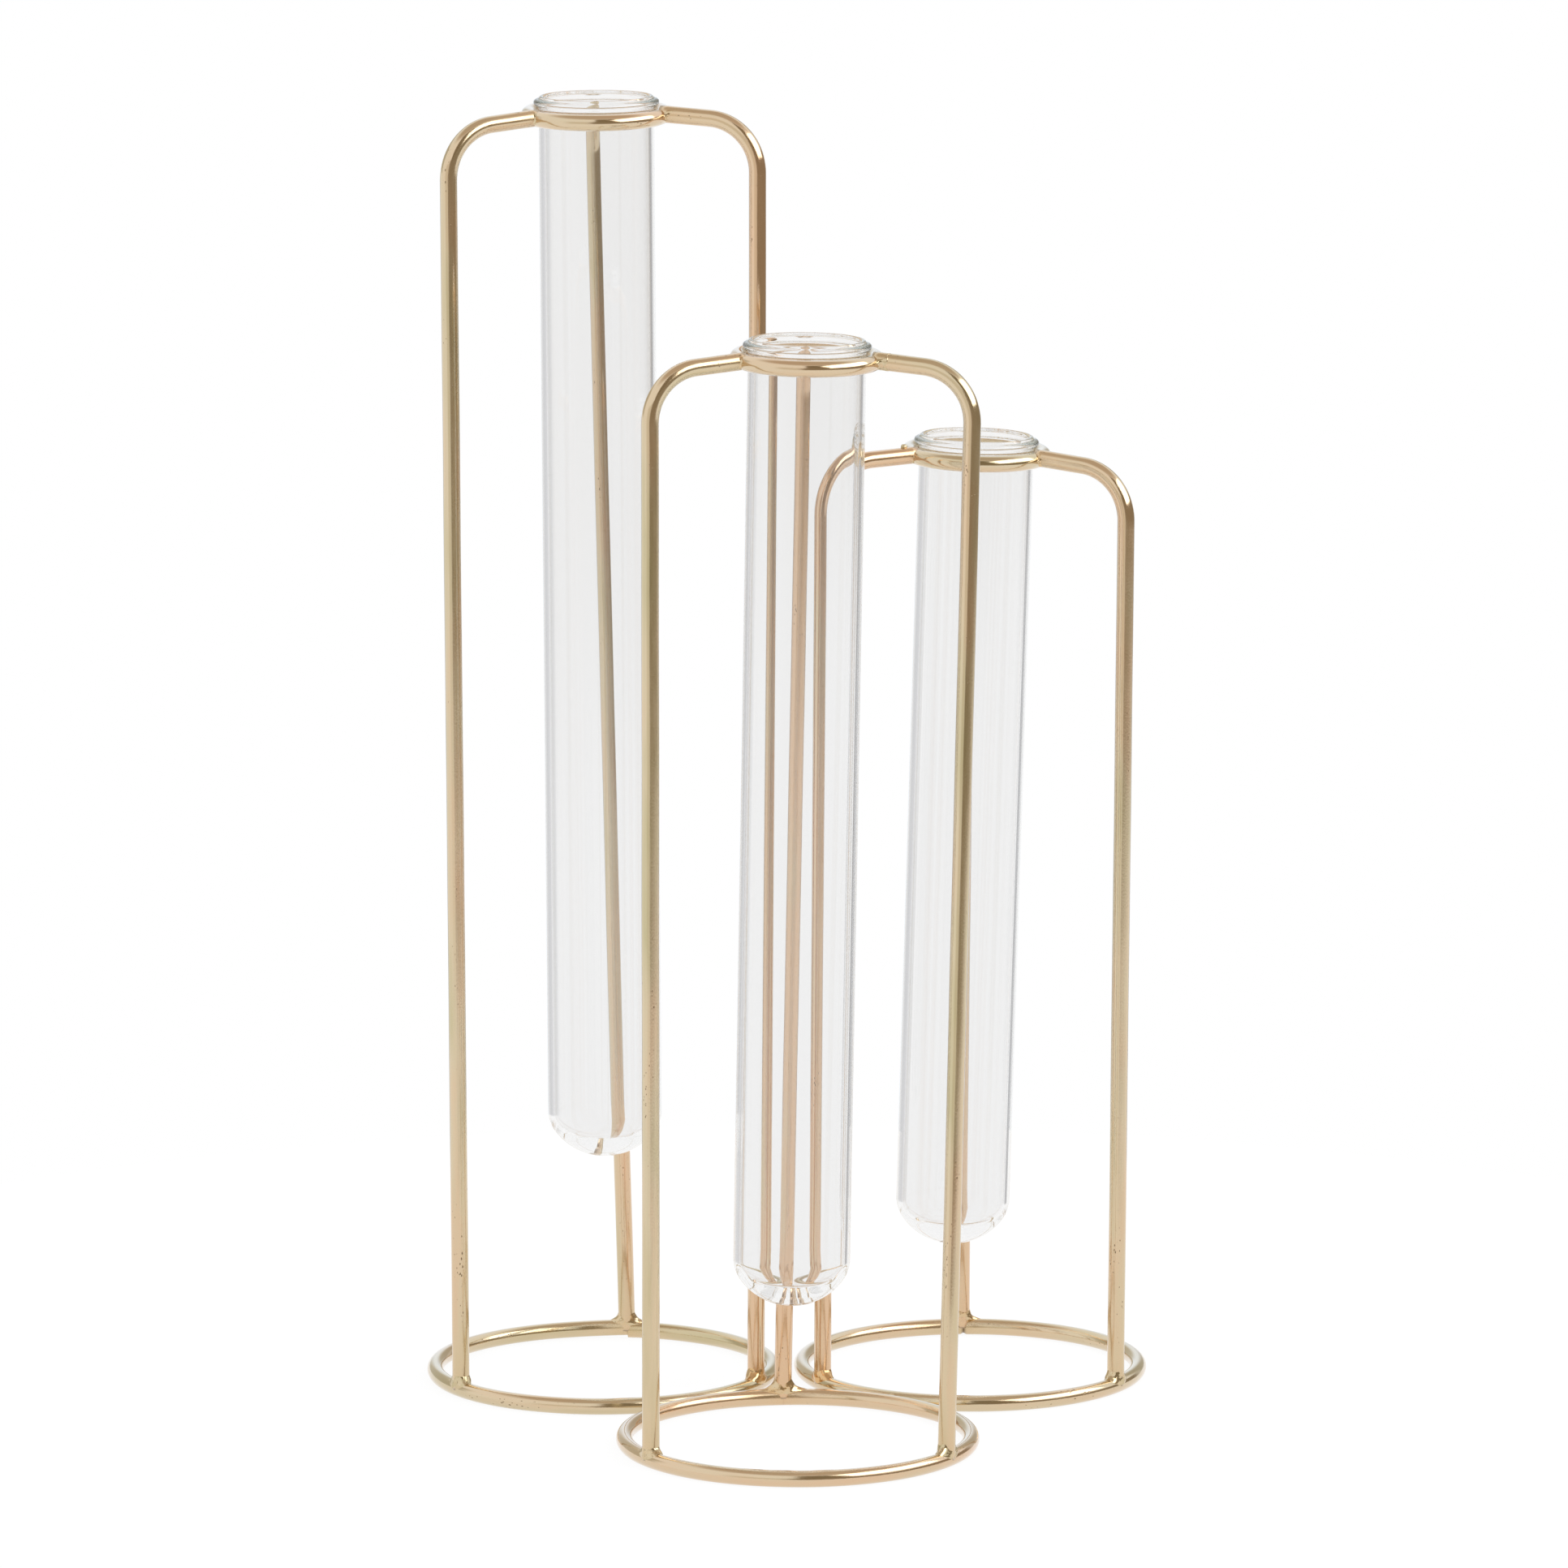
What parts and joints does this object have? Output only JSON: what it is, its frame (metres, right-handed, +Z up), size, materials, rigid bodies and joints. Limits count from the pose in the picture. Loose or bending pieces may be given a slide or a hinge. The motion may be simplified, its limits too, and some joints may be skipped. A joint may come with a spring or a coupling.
{
  "type": "test tube vase",
  "caption": "Free-standing flower vase: bent wire stands brazed together at their base rings, each holding a lift-out glass test tube by its beaded lip in a wire collar.",
  "frame": {"origin": "on the table, at the middle of the footprint box", "axes": "+Z up, +Y to the back, +X to the right: the front ring is towards -Y, the tall stand at -X and the short one at +X"},
  "size_m": [0.159, 0.1456, 0.2839],
  "materials": {
    "gold_wire": "pale gold plated, satin",
    "gold_weld": "pale gold plated over lumpy weld metal",
    "clear_glass": "clear, polished"
  },
  "bodies": {
    "stand": {"tall_base_ring": "gold_wire", "tall_collar": "gold_wire", "tall_left_leg": "gold_wire", "tall_right_leg": "gold_wire", "tall_back_leg": "gold_wire", "tall_foot_welds": "gold_weld", "tall_collar_welds": "gold_weld", "middle_base_ring": "gold_wire", "middle_collar": "gold_wire", "middle_left_leg": "gold_wire", "middle_right_leg": "gold_wire", "middle_back_leg": "gold_wire", "middle_foot_welds": "gold_weld", "middle_collar_welds": "gold_weld", "short_base_ring": "gold_wire", "short_collar": "gold_wire", "short_left_leg": "gold_wire", "short_right_leg": "gold_wire", "short_back_leg": "gold_wire", "short_foot_welds": "gold_weld", "short_collar_welds": "gold_weld", "tall_ring_braze": "gold_weld", "short_ring_braze": "gold_weld"},
    "tall_tube": {"tall_tube": "clear_glass"},
    "middle_tube": {"middle_tube": "clear_glass"},
    "short_tube": {"short_tube": "clear_glass"}
  },
  "joints": [
    {"name": "tall_tube_lift", "type": "slide", "parent": "stand", "child": "tall_tube", "axis": [-0.0052, 0, 1], "range_m": [0, 0.237]},
    {"name": "middle_tube_lift", "type": "slide", "parent": "stand", "child": "middle_tube", "axis": [0.0166, 0, 0.9999], "range_m": [0, 0.211]},
    {"name": "short_tube_lift", "type": "slide", "parent": "stand", "child": "short_tube", "axis": [0.0279, 0, 0.9996], "range_m": [0, 0.183]}
  ]
}
